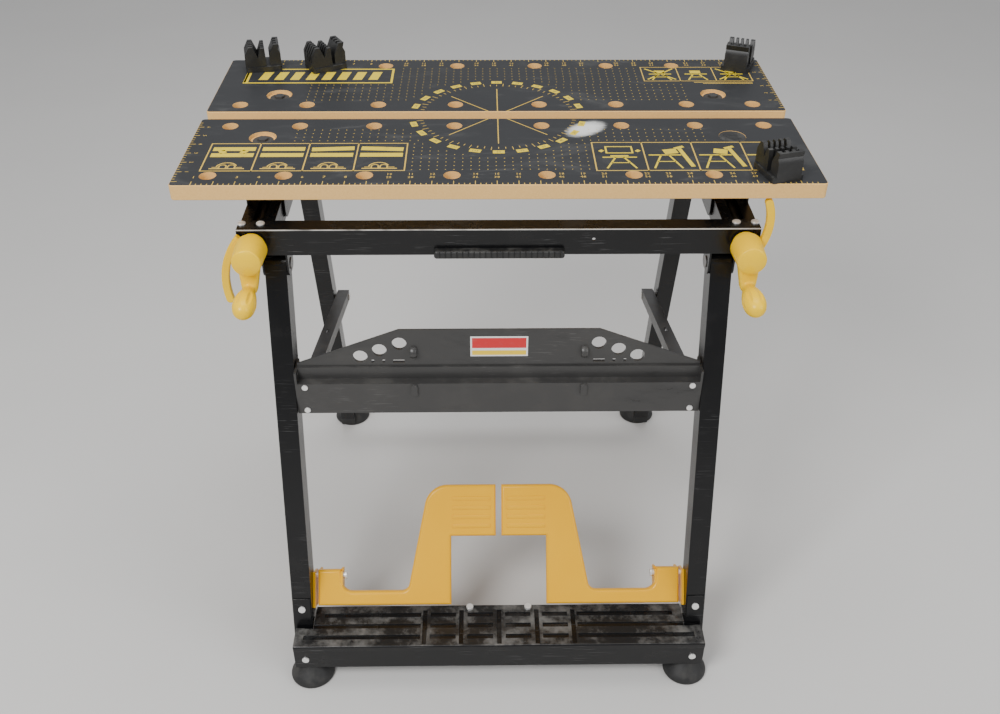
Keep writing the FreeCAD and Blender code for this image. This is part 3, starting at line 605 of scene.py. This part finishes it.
def dots(x, back):
    """A grid of dots in a rectangle, left out inside the dial."""
    middle = spot((x[0] + x[1]) / 2, (back[0] + back[1]) / 2)
    wide, deep = x[1] - x[0], back[1] - back[0]
    tree = Grown("dot_grid", Columns=round(wide / DOT_STEP[0]) + 1,
                 Rows=round(deep / DOT_STEP[1]) + 1, Wide=wide * MM, Deep=deep * MM,
                 Middle_X=middle.x, Middle_Y=middle.y, Centre_Y=spot(0, DIAL_CENTRE).y,
                 Clear=DIAL_CLEAR_R * MM, Dot=DOT_SIZE * MM)
    sizes = {"Size X": tree["Wide"], "Size Y": tree["Deep"], "Vertices X": tree["Columns"],
             "Vertices Y": tree["Rows"]}
    grid = tree.node("GeometryNodeMeshGrid", None, sizes)
    moved = {"Geometry": grid, "Translation": tree.vector(tree["Middle_X"], tree["Middle_Y"], TOP)}
    grid = tree.node("GeometryNodeTransform", None, moved)
    place = tree.node("GeometryNodeInputPosition")
    across = tree.node("ShaderNodeSeparateXYZ", None, {0: place}, out="X")
    away = tree.node("ShaderNodeSeparateXYZ", None, {0: place}, out="Y") - tree["Centre_Y"]
    inside = tree.math("SQRT", across * across + away * away) < tree["Clear"]
    removed = {"Geometry": grid, "Selection": inside}
    kept = tree.node("GeometryNodeDeleteGeometry", {"domain": "POINT"}, removed)
    unit = {"Vertices": 7, "Radius": 0.5, "Depth": 1.0}
    disc = tree.node("GeometryNodeMeshCylinder", None, unit)
    return tree.mesh(tree.scatter(kept, disc, 0.0, tree["Dot"], tree["Dot"]), gold_ink)


class Sheet:
    """Everything printed in one ink on one board, gathered into one thin closed mesh."""

    def __init__(self, level=0.0):
        self.shape = bmesh.new()
        self.level = level

    def add(self, mesh, place=Matrix.Identity(4)):
        copy = mesh.copy()
        copy.transform(place)
        self.shape.from_mesh(copy)
        bpy.data.meshes.remove(copy)

    def prism(self, points):
        """A thin solid over a polygon of (x, back) points."""
        low = [self.shape.verts.new(spot(x, back, -THIN)) for x, back in points]
        high = [self.shape.verts.new(spot(x, back, THIN + self.level)) for x, back in points]
        self.shape.faces.new(low[::-1])
        self.shape.faces.new(high)
        for k in range(len(points)):
            self.shape.faces.new((low[k - 1], low[k], high[k], high[k - 1]))

    def bar(self, x, back, wide, tall, angle=0.0):
        turn = Matrix.Rotation(math.radians(angle), 2)
        corners = ((-wide, -tall), (wide, -tall), (wide, tall), (-wide, tall))
        self.prism([tuple(Vector((x, back)) + turn @ Vector(corner) / 2) for corner in corners])

    def line(self, x0, back0, x1, back1, width):
        run = Vector((x1 - x0, back1 - back0))
        middle = ((x0 + x1) / 2, (back0 + back1) / 2)
        self.bar(*middle, run.length, width, math.degrees(math.atan2(run.y, run.x)))

    def path(self, points, width):
        for start, end in zip(points, points[1:]):
            self.line(*start, *end, width)

    def frame(self, x, back, width, dividers=()):
        middle = (back[0] + back[1]) / 2
        for edge in (*x, *dividers):
            self.bar(edge, middle, width, back[1] - back[0] + width)
        for edge in back:
            self.bar((x[0] + x[1]) / 2, edge, x[1] - x[0] - width, width)

    def arch(self, x, back, radius, width, degrees=(0, 180)):
        steps = 8
        turn = degrees[1] - degrees[0]
        angles = [math.radians(degrees[0] + turn * k / steps) for k in range(steps + 1)]
        self.path([(x + radius * math.cos(a), back + radius * math.sin(a)) for a in angles], width)

    def text(self, words, x, back, size, angle=0.0):
        """Plain numerals, centred on a place."""
        curve = bpy.data.curves.new("numerals", "FONT")
        curve.body = words
        curve.size = size * MM
        curve.extrude = THIN + self.level / 2
        curve.resolution_u = 1
        curve.align_x, curve.align_y = "CENTER", "CENTER"
        holder = bpy.data.objects.new("numerals", curve)
        bpy.context.scene.collection.objects.link(holder)
        mesh = evaluated(holder)
        bpy.data.objects.remove(holder)
        turn = Matrix.Rotation(math.radians(angle), 4, "Z")
        self.add(mesh, Matrix.Translation(spot(x, back, self.level / 2)) @ turn)
        bpy.data.meshes.remove(mesh)

    def piece(self, name, body, material):
        bmesh.ops.remove_doubles(self.shape, verts=self.shape.verts, dist=1e-7)
        bmesh.ops.recalc_face_normals(self.shape, faces=self.shape.faces)
        mesh = bpy.data.meshes.new(name)
        self.shape.to_mesh(mesh)
        self.shape.free()
        return add_piece(name, mesh, body, material)


def clear_of_holes(x):
    return all(abs(abs(x) - hole) > HOLE_CLEAR for hole in HOLE_X)


def numbered_edge(sheet, near, far, single):
    """Inches beside an edge ruler, with centimetres in a second row from ten inches on."""
    for count in range(1, 30):
        x = count * INCH_MM - HALF_WIDTH
        if not clear_of_holes(x):
            continue
        if count < 10:
            sheet.text(str(count), x, single, 7.5)
        else:
            sheet.text(str(count), x, near, 7.0)
            sheet.text(str(round(count * 2.54)), x, far, 7.0)


def dial(gold, yellow, dark, side):
    """Half the protractor: side is 1 on the rear board and -1 on the front one."""
    gold.add(dial_ticks(DIAL_FIRST if side > 0 else 180 + DIAL_FIRST))
    for degrees in (45, 90, 135):
        angle = math.radians(degrees) * side
        start = DIAL_GAP / abs(math.sin(angle))
        ray = Vector((math.cos(angle), math.sin(angle)))
        end = ray * DIAL_RAY_R
        gold.line(ray.x * start, DIAL_CENTRE + ray.y * start, end.x, DIAL_CENTRE + end.y,
                  DIAL_RAY_LINE)
    for degrees in range(15, 180, 15):
        angle = math.radians(degrees) * side
        x = DIAL_PLATE_R * math.cos(angle)
        back = DIAL_CENTRE + DIAL_PLATE_R * math.sin(angle)
        lean = degrees * side - 90 * side
        yellow.bar(x, back, *DIAL_PLATE, lean)
        dark.text(str(degrees), x, back, 6.0, lean)


def step_icon(sheet, x, back):
    """A small pictogram of the step and its pedals."""
    stroke, pedal = 1.8, 4.2
    sheet.line(x - 21, back, x + 21, back, 2.2)
    sheet.line(x - 18, back + 3.5, x - 10, back + 3.5, 1.4)
    sheet.line(x + 10, back + 3.5, x + 18, back + 3.5, 1.4)
    sheet.arch(x - 1, back + 4, 12.0, stroke, (20, 175))
    for middle in (x - 5.5, x + 5.0):
        sheet.arch(middle, back + 6, pedal, stroke)
        for edge in (middle - pedal, middle + pedal):
            sheet.line(edge, back + 1, edge, back + 6, stroke)


def jaw_icons(gold, yellow):
    """Four panels with the two boards drawn apart, together and aslant."""
    left, pitch = -355, 60.5
    gold.frame((left, -113), (37.5, 113), PANEL_LINE, [left + pitch * k for k in (1, 2, 3)])
    for k, slant in enumerate((0, 0, 3.5, -3.5)):
        x = -324.7 + pitch * k
        yellow.bar(x, 97.5, 52, 10.5, slant)
        yellow.bar(x, 80.5, 52, 10.5)
        step_icon(gold, x, 43.5)
    yellow.bar(-338, 89.5, 8, 8, 30)
    yellow.bar(-312, 89.5, 8, 8, -30)


def bench_icon(sheet, x, back, tall, wide):
    """A bench from its end: a top, two splayed legs and a rung."""
    hip, toe, rung = wide * 0.12, wide * 0.42, wide * 0.27
    sheet.bar(x, back + tall, wide, 2.6)
    sheet.line(x - hip, back + tall, x - toe, back, 2.4)
    sheet.line(x + hip, back + tall, x + toe, back, 2.4)
    sheet.line(x - rung, back + tall * 0.5, x + rung, back + tall * 0.5, 1.8)


def use_icons(gold, yellow):
    """Four panels of a bench seen from its front and its end, with a block on it."""
    gold.frame((116, 363), (36, 114), PANEL_LINE, (178, 240, 302))
    yellow.frame((132, 164), (84, 102), 2.2)
    yellow.bar(126, 90, 6, 5, 45)
    yellow.bar(171, 90, 6, 5, 45)
    bench_icon(yellow, 147, 42, 30, 42)
    yellow.bar(147, 75, 22, 5)
    for x, lean in ((209, 12), (271, -12), (330, 12)):
        bench_icon(yellow, x - 6, 42, 36, 40)
        yellow.bar(x + 2, 88, 17, 13, lean)
        yellow.line(x + 14, 96, x + 24, 46, 5.5)
        yellow.line(x + 8, 96, x + 20, 102, 5.0)


def caution_icons(gold, yellow):
    """Three panels of a bench, two of them crossed out."""
    gold.frame((208, 361), (316, 368), 1.4, (259, 310))
    for x, crossed in ((233.5, True), (284.5, False), (335.5, True)):
        bench_icon(yellow, x, 320, 22, 32)
        yellow.bar(x, 350, 15, 10)
        if crossed:
            yellow.line(x - 20, 322, x + 20, 362, 2.6)
            yellow.line(x - 20, 362, x + 20, 322, 2.6)
    gold.bar(318, 311, 82, 1.6)
    gold.bar(324, 307, 70, 1.6)


def nameless_plate(yellow):
    """A framed row of plain slanted bars, where a maker would print a name."""
    yellow.frame((-352, -147), (311, 362), 3.2)
    yellow.bar(-350, 336.5, 6, 48)
    for k in range(8):
        x = -325 + 22 * k
        yellow.prism([(x - 9, 322), (x + 4, 322), (x + 9, 351), (x - 4, 351)])


def print_boards():
    front_gold, front_yellow, front_dark = Sheet(), Sheet(), Sheet(DARK_LEVEL)
    rear_gold, rear_yellow, rear_dark = Sheet(), Sheet(), Sheet(DARK_LEVEL)
    first, side = INCH_MM - HALF_WIDTH, HALF_WIDTH - RULER_INSET
    along, away = (QUARTER, 0), (0, QUARTER)
    front_gold.add(ruler((first, RULER_INSET), along, 0, LONG_TICKS))
    front_gold.add(ruler((-side, FRONT_SCALE), away, -90, SIDE_TICKS, 3.5, 7.5))
    rear_gold.add(ruler((first, REAR_EDGE - RULER_INSET), along, 180, LONG_TICKS, 3.5, 8.0))
    rear_gold.add(ruler((side, REAR_SCALE), away, 90, SIDE_TICKS, 3.5, 7.5))
    numbered_edge(front_gold, 28.0, 20.0, 21.0)
    numbered_edge(rear_gold, REAR_EDGE - 14.8, REAR_EDGE - 23.0, REAR_EDGE - 17.0)
    for count in range(1, 7):
        front_gold.text(str(count), -370, FRONT_SCALE + count * INCH_MM, 6.5, -90)
        rear_gold.text(str(count), 370, REAR_SCALE + count * INCH_MM, 6.5, 90)
    front_gold.add(dots((-254.5, 259.5), (121, 153)))
    front_gold.add(dots((-104.5, 107.5), (40, 111)))
    rear_gold.add(dots((-256.8, 257.5), (250, 303)))
    rear_gold.add(dots((-133, 198), (313.5, 363.6)))
    dial(front_gold, front_yellow, front_dark, -1)
    dial(rear_gold, rear_yellow, rear_dark, 1)
    jaw_icons(front_gold, front_yellow)
    use_icons(front_gold, front_yellow)
    caution_icons(rear_gold, rear_yellow)
    nameless_plate(rear_yellow)
    printed = (("front", "top_frame", front_gold, front_yellow, front_dark),
               ("rear", "rear_jaw", rear_gold, rear_yellow, rear_dark))
    for name, body, gold, yellow, dark in printed:
        gold.piece(name + "_print_gold", body, gold_ink)
        yellow.piece(name + "_print_yellow", body, yellow_ink)
        dark.piece(name + "_print_dark", body, dark_ink)


print_boards()


# ---- stage, lights and camera ----------------------------------------------------------------

def stage():
    floor = Finish("pale_floor")
    cloud = floor.grain(3.0, 4.0)
    colour = floor.blend(cloud, (0.62, 0.61, 0.59), (0.66, 0.65, 0.63))
    material = floor.surface(colour, 0.7)
    mesh = bpy.data.meshes.new("floor")
    reach = 8.0
    corners = [(-reach, -reach, 0), (reach, -reach, 0), (reach, reach, 0), (-reach, reach, 0)]
    mesh.from_pydata(corners, [], [(0, 1, 2, 3)])
    ground = bpy.data.objects.new("floor", mesh)
    bpy.context.scene.collection.objects.link(ground)
    mesh.materials.append(material)


def softbox(name, place, target, size, power):
    lamp = bpy.data.lights.new(name, "AREA")
    lamp.shape = "RECTANGLE"
    lamp.size, lamp.size_y = size
    lamp.energy = power
    holder = bpy.data.objects.new(name, lamp)
    holder.location = place
    holder.rotation_euler = (Vector(target) - Vector(place)).to_track_quat("-Z", "Y").to_euler()
    bpy.context.scene.collection.objects.link(holder)


def lights():
    middle = (0, 0, 0.45)
    softbox("key_left", (-1.2, -1.7, 2.3), middle, (1.0, 1.0), 60)
    softbox("fill_right", (1.9, -1.3, 1.5), middle, (1.2, 1.4), 18)
    softbox("top", (0.1, 0.3, 2.9), middle, (2.0, 1.6), 34)
    world = bpy.data.worlds.new("studio")
    world.use_nodes = True
    background = world.node_tree.nodes["Background"]
    background.inputs["Color"].default_value = (0.86, 0.87, 0.9, 1.0)
    background.inputs["Strength"].default_value = 0.55
    bpy.context.scene.world = world


def camera():
    """A standing person's view, a little left of centre, looking down at the bench."""
    pitch, yaw, roll = (math.radians(angle) for angle in (36.28, 1.06, 0.32))
    ahead = Vector((math.sin(yaw) * math.cos(pitch), math.cos(yaw) * math.cos(pitch), -math.sin(pitch)))
    right = Vector((math.cos(yaw), -math.sin(yaw), 0))
    up = right.cross(ahead)
    side = right * math.cos(roll) + up * math.sin(roll)
    above = up * math.cos(roll) - right * math.sin(roll)
    eye = Vector((-0.0191, EDGE - 1.0991, TOP + 0.5591))
    lens = bpy.data.cameras.new("camera")
    lens.lens = 37.78
    lens.sensor_width = 36.0
    view = bpy.data.objects.new("camera", lens)
    turn = Matrix((side, above, -ahead)).transposed().to_4x4()
    view.matrix_world = Matrix.Translation(eye) @ turn
    bpy.context.scene.collection.objects.link(view)
    bpy.context.scene.camera = view


stage()
lights()
camera()
